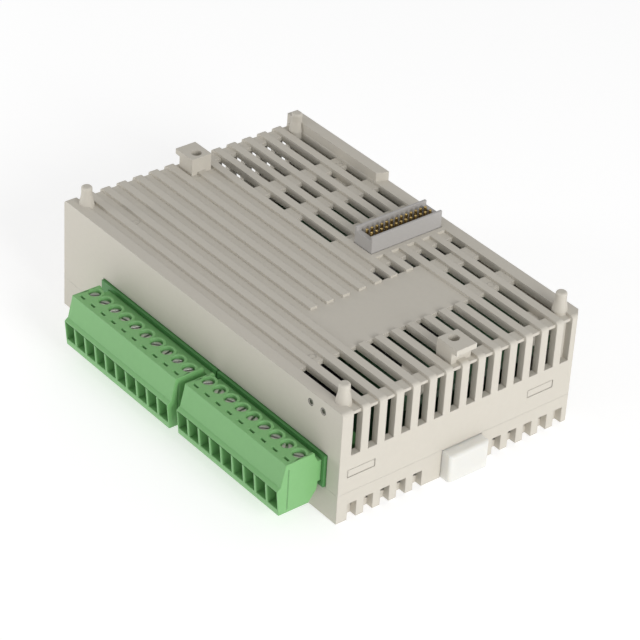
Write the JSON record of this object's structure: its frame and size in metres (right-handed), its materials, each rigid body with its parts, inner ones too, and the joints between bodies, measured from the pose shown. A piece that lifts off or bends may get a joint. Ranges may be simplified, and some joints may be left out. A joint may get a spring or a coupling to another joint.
{
  "type": "plc input/output extension module",
  "caption": "Slim ribbed extension module for a programmable controller, with two pluggable screw-terminal blocks, a side bus connector, sliding module clips and a rail latch.",
  "frame": {"origin": "centre of the left side, the flat face the module rests on", "axes": "+X down the module's height to the end beside the nine-pole terminal block, +Y to the rail behind it, +Z to its right side, with the bus connector"},
  "size_m": [0.0952, 0.075, 0.0293],
  "materials": {
    "housing_plastic": "fine moulded texture",
    "latch_plastic": "moulded, slightly smoother than the housing",
    "clip_plastic": "white, slightly translucent nylon",
    "header_plastic": "dark green moulding",
    "plug_plastic": "light green moulding",
    "connector_plastic": "light grey connector plastic",
    "screw_steel": "zinc plated",
    "clamp_steel": "pressed sheet",
    "spring_steel": "drawn wire",
    "tinned_brass": "tin plated",
    "gold_pins": "gold plated",
    "board_laminate": "solder resist on glass laminate",
    "lens_plastic": "tinted light pipe",
    "chip_plastic": "moulded epoxy"
  },
  "bodies": {
    "housing": {"cover_shell": "housing_plastic", "base_shell": "housing_plastic", "header_10": "header_plastic", "header_10_pins": "tinned_brass", "header_9": "header_plastic", "header_9_pins": "tinned_brass", "main_board": "board_laminate", "bus_board": "board_laminate", "bus_shroud": "connector_plastic", "bus_pins": "gold_pins", "bus_socket": "connector_plastic", "status_lenses": "lens_plastic", "output_chips": "chip_plastic", "board_link": "chip_plastic", "din_latch_spring": "spring_steel"},
    "din_latch": {"din_latch": "latch_plastic"},
    "module_clip_bottom": {"module_clip_bottom": "clip_plastic"},
    "module_clip_top": {"module_clip_top": "clip_plastic"},
    "plug_10": {"plug_10_housing": "plug_plastic", "plug_10_contacts": "tinned_brass"},
    "plug_9": {"plug_9_housing": "plug_plastic", "plug_9_contacts": "tinned_brass"},
    "screw_10_01": {"screw_10_01": "screw_steel"},
    "clamp_10_01": {"clamp_10_01": "clamp_steel"},
    "screw_10_02": {"screw_10_02": "screw_steel"},
    "clamp_10_02": {"clamp_10_02": "clamp_steel"},
    "screw_10_03": {"screw_10_03": "screw_steel"},
    "clamp_10_03": {"clamp_10_03": "clamp_steel"},
    "screw_10_04": {"screw_10_04": "screw_steel"},
    "clamp_10_04": {"clamp_10_04": "clamp_steel"},
    "screw_10_05": {"screw_10_05": "screw_steel"},
    "clamp_10_05": {"clamp_10_05": "clamp_steel"},
    "screw_10_06": {"screw_10_06": "screw_steel"},
    "clamp_10_06": {"clamp_10_06": "clamp_steel"},
    "screw_10_07": {"screw_10_07": "screw_steel"},
    "clamp_10_07": {"clamp_10_07": "clamp_steel"},
    "screw_10_08": {"screw_10_08": "screw_steel"},
    "clamp_10_08": {"clamp_10_08": "clamp_steel"},
    "screw_10_09": {"screw_10_09": "screw_steel"},
    "clamp_10_09": {"clamp_10_09": "clamp_steel"},
    "screw_10_10": {"screw_10_10": "screw_steel"},
    "clamp_10_10": {"clamp_10_10": "clamp_steel"},
    "screw_9_01": {"screw_9_01": "screw_steel"},
    "clamp_9_01": {"clamp_9_01": "clamp_steel"},
    "screw_9_02": {"screw_9_02": "screw_steel"},
    "clamp_9_02": {"clamp_9_02": "clamp_steel"},
    "screw_9_03": {"screw_9_03": "screw_steel"},
    "clamp_9_03": {"clamp_9_03": "clamp_steel"},
    "screw_9_04": {"screw_9_04": "screw_steel"},
    "clamp_9_04": {"clamp_9_04": "clamp_steel"},
    "screw_9_05": {"screw_9_05": "screw_steel"},
    "clamp_9_05": {"clamp_9_05": "clamp_steel"},
    "screw_9_06": {"screw_9_06": "screw_steel"},
    "clamp_9_06": {"clamp_9_06": "clamp_steel"},
    "screw_9_07": {"screw_9_07": "screw_steel"},
    "clamp_9_07": {"clamp_9_07": "clamp_steel"},
    "screw_9_08": {"screw_9_08": "screw_steel"},
    "clamp_9_08": {"clamp_9_08": "clamp_steel"},
    "screw_9_09": {"screw_9_09": "screw_steel"},
    "clamp_9_09": {"clamp_9_09": "clamp_steel"}
  },
  "joints": [
    {"name": "din_latch_slide", "type": "slide", "parent": "housing", "child": "din_latch", "axis": [1, 0, 0], "range_m": [0, 0.0035], "stiffness_N_per_m": 300, "springref_m": -0.002, "deforming": ["din_latch_spring"]},
    {"name": "module_clip_bottom_slide", "type": "slide", "parent": "housing", "child": "module_clip_bottom", "axis": [-1, 0, 0], "range_m": [0, 0.0016]},
    {"name": "module_clip_top_slide", "type": "slide", "parent": "housing", "child": "module_clip_top", "axis": [1, 0, 0], "range_m": [0, 0.0016]},
    {"name": "plug_10_pull", "type": "slide", "parent": "housing", "child": "plug_10", "axis": [0, -1, 0], "range_m": [0, 0.012]},
    {"name": "plug_9_pull", "type": "slide", "parent": "housing", "child": "plug_9", "axis": [0, -1, 0], "range_m": [0, 0.012]},
    {"name": "screw_10_01_turn", "type": "hinge", "parent": "plug_10", "child": "screw_10_01", "pos_m": [-0.02645, -0.03525, 0.0128], "axis": [0, 0, -1], "range_deg": [0, 1981]},
    {"name": "clamp_10_01_rise", "type": "slide", "parent": "plug_10", "child": "clamp_10_01", "axis": [0, 0, 1], "range_m": [0, 0.0022]},
    {"name": "screw_10_02_turn", "type": "hinge", "parent": "plug_10", "child": "screw_10_02", "pos_m": [-0.02295, -0.03525, 0.0128], "axis": [0, 0, -1], "range_deg": [0, 1981]},
    {"name": "clamp_10_02_rise", "type": "slide", "parent": "plug_10", "child": "clamp_10_02", "axis": [0, 0, 1], "range_m": [0, 0.0022]},
    {"name": "screw_10_03_turn", "type": "hinge", "parent": "plug_10", "child": "screw_10_03", "pos_m": [-0.01945, -0.03525, 0.0128], "axis": [0, 0, -1], "range_deg": [0, 1981]},
    {"name": "clamp_10_03_rise", "type": "slide", "parent": "plug_10", "child": "clamp_10_03", "axis": [0, 0, 1], "range_m": [0, 0.0022]},
    {"name": "screw_10_04_turn", "type": "hinge", "parent": "plug_10", "child": "screw_10_04", "pos_m": [-0.01595, -0.03525, 0.0128], "axis": [0, 0, -1], "range_deg": [0, 1981]},
    {"name": "clamp_10_04_rise", "type": "slide", "parent": "plug_10", "child": "clamp_10_04", "axis": [0, 0, 1], "range_m": [0, 0.0022]},
    {"name": "screw_10_05_turn", "type": "hinge", "parent": "plug_10", "child": "screw_10_05", "pos_m": [-0.01245, -0.03525, 0.0128], "axis": [0, 0, -1], "range_deg": [0, 1981]},
    {"name": "clamp_10_05_rise", "type": "slide", "parent": "plug_10", "child": "clamp_10_05", "axis": [0, 0, 1], "range_m": [0, 0.0022]},
    {"name": "screw_10_06_turn", "type": "hinge", "parent": "plug_10", "child": "screw_10_06", "pos_m": [-0.00895, -0.03525, 0.0128], "axis": [0, 0, -1], "range_deg": [0, 1981]},
    {"name": "clamp_10_06_rise", "type": "slide", "parent": "plug_10", "child": "clamp_10_06", "axis": [0, 0, 1], "range_m": [0, 0.0022]},
    {"name": "screw_10_07_turn", "type": "hinge", "parent": "plug_10", "child": "screw_10_07", "pos_m": [-0.00545, -0.03525, 0.0128], "axis": [0, 0, -1], "range_deg": [0, 1981]},
    {"name": "clamp_10_07_rise", "type": "slide", "parent": "plug_10", "child": "clamp_10_07", "axis": [0, 0, 1], "range_m": [0, 0.0022]},
    {"name": "screw_10_08_turn", "type": "hinge", "parent": "plug_10", "child": "screw_10_08", "pos_m": [-0.00195, -0.03525, 0.0128], "axis": [0, 0, -1], "range_deg": [0, 1981]},
    {"name": "clamp_10_08_rise", "type": "slide", "parent": "plug_10", "child": "clamp_10_08", "axis": [0, 0, 1], "range_m": [0, 0.0022]},
    {"name": "screw_10_09_turn", "type": "hinge", "parent": "plug_10", "child": "screw_10_09", "pos_m": [0.00155, -0.03525, 0.0128], "axis": [0, 0, -1], "range_deg": [0, 1981]},
    {"name": "clamp_10_09_rise", "type": "slide", "parent": "plug_10", "child": "clamp_10_09", "axis": [0, 0, 1], "range_m": [0, 0.0022]},
    {"name": "screw_10_10_turn", "type": "hinge", "parent": "plug_10", "child": "screw_10_10", "pos_m": [0.00505, -0.03525, 0.0128], "axis": [0, 0, -1], "range_deg": [0, 1981]},
    {"name": "clamp_10_10_rise", "type": "slide", "parent": "plug_10", "child": "clamp_10_10", "axis": [0, 0, 1], "range_m": [0, 0.0022]},
    {"name": "screw_9_01_turn", "type": "hinge", "parent": "plug_9", "child": "screw_9_01", "pos_m": [0.01065, -0.03465, 0.0128], "axis": [0, 0, -1], "range_deg": [0, 1981]},
    {"name": "clamp_9_01_rise", "type": "slide", "parent": "plug_9", "child": "clamp_9_01", "axis": [0, 0, 1], "range_m": [0, 0.0022]},
    {"name": "screw_9_02_turn", "type": "hinge", "parent": "plug_9", "child": "screw_9_02", "pos_m": [0.01415, -0.03465, 0.0128], "axis": [0, 0, -1], "range_deg": [0, 1981]},
    {"name": "clamp_9_02_rise", "type": "slide", "parent": "plug_9", "child": "clamp_9_02", "axis": [0, 0, 1], "range_m": [0, 0.0022]},
    {"name": "screw_9_03_turn", "type": "hinge", "parent": "plug_9", "child": "screw_9_03", "pos_m": [0.01765, -0.03465, 0.0128], "axis": [0, 0, -1], "range_deg": [0, 1981]},
    {"name": "clamp_9_03_rise", "type": "slide", "parent": "plug_9", "child": "clamp_9_03", "axis": [0, 0, 1], "range_m": [0, 0.0022]},
    {"name": "screw_9_04_turn", "type": "hinge", "parent": "plug_9", "child": "screw_9_04", "pos_m": [0.02115, -0.03465, 0.0128], "axis": [0, 0, -1], "range_deg": [0, 1981]},
    {"name": "clamp_9_04_rise", "type": "slide", "parent": "plug_9", "child": "clamp_9_04", "axis": [0, 0, 1], "range_m": [0, 0.0022]},
    {"name": "screw_9_05_turn", "type": "hinge", "parent": "plug_9", "child": "screw_9_05", "pos_m": [0.02465, -0.03465, 0.0128], "axis": [0, 0, -1], "range_deg": [0, 1981]},
    {"name": "clamp_9_05_rise", "type": "slide", "parent": "plug_9", "child": "clamp_9_05", "axis": [0, 0, 1], "range_m": [0, 0.0022]},
    {"name": "screw_9_06_turn", "type": "hinge", "parent": "plug_9", "child": "screw_9_06", "pos_m": [0.02815, -0.03465, 0.0128], "axis": [0, 0, -1], "range_deg": [0, 1981]},
    {"name": "clamp_9_06_rise", "type": "slide", "parent": "plug_9", "child": "clamp_9_06", "axis": [0, 0, 1], "range_m": [0, 0.0022]},
    {"name": "screw_9_07_turn", "type": "hinge", "parent": "plug_9", "child": "screw_9_07", "pos_m": [0.03165, -0.03465, 0.0128], "axis": [0, 0, -1], "range_deg": [0, 1981]},
    {"name": "clamp_9_07_rise", "type": "slide", "parent": "plug_9", "child": "clamp_9_07", "axis": [0, 0, 1], "range_m": [0, 0.0022]},
    {"name": "screw_9_08_turn", "type": "hinge", "parent": "plug_9", "child": "screw_9_08", "pos_m": [0.03515, -0.03465, 0.0128], "axis": [0, 0, -1], "range_deg": [0, 1981]},
    {"name": "clamp_9_08_rise", "type": "slide", "parent": "plug_9", "child": "clamp_9_08", "axis": [0, 0, 1], "range_m": [0, 0.0022]},
    {"name": "screw_9_09_turn", "type": "hinge", "parent": "plug_9", "child": "screw_9_09", "pos_m": [0.03865, -0.03465, 0.0128], "axis": [0, 0, -1], "range_deg": [0, 1981]},
    {"name": "clamp_9_09_rise", "type": "slide", "parent": "plug_9", "child": "clamp_9_09", "axis": [0, 0, 1], "range_m": [0, 0.0022]}
  ],
  "couplings": [
    {"joint": "screw_10_01_turn", "follows": "clamp_10_01_rise", "rad_per_m": 15708},
    {"joint": "screw_10_02_turn", "follows": "clamp_10_02_rise", "rad_per_m": 15708},
    {"joint": "screw_10_03_turn", "follows": "clamp_10_03_rise", "rad_per_m": 15708},
    {"joint": "screw_10_04_turn", "follows": "clamp_10_04_rise", "rad_per_m": 15708},
    {"joint": "screw_10_05_turn", "follows": "clamp_10_05_rise", "rad_per_m": 15708},
    {"joint": "screw_10_06_turn", "follows": "clamp_10_06_rise", "rad_per_m": 15708},
    {"joint": "screw_10_07_turn", "follows": "clamp_10_07_rise", "rad_per_m": 15708},
    {"joint": "screw_10_08_turn", "follows": "clamp_10_08_rise", "rad_per_m": 15708},
    {"joint": "screw_10_09_turn", "follows": "clamp_10_09_rise", "rad_per_m": 15708},
    {"joint": "screw_10_10_turn", "follows": "clamp_10_10_rise", "rad_per_m": 15708},
    {"joint": "screw_9_01_turn", "follows": "clamp_9_01_rise", "rad_per_m": 15708},
    {"joint": "screw_9_02_turn", "follows": "clamp_9_02_rise", "rad_per_m": 15708},
    {"joint": "screw_9_03_turn", "follows": "clamp_9_03_rise", "rad_per_m": 15708},
    {"joint": "screw_9_04_turn", "follows": "clamp_9_04_rise", "rad_per_m": 15708},
    {"joint": "screw_9_05_turn", "follows": "clamp_9_05_rise", "rad_per_m": 15708},
    {"joint": "screw_9_06_turn", "follows": "clamp_9_06_rise", "rad_per_m": 15708},
    {"joint": "screw_9_07_turn", "follows": "clamp_9_07_rise", "rad_per_m": 15708},
    {"joint": "screw_9_08_turn", "follows": "clamp_9_08_rise", "rad_per_m": 15708},
    {"joint": "screw_9_09_turn", "follows": "clamp_9_09_rise", "rad_per_m": 15708}
  ]
}
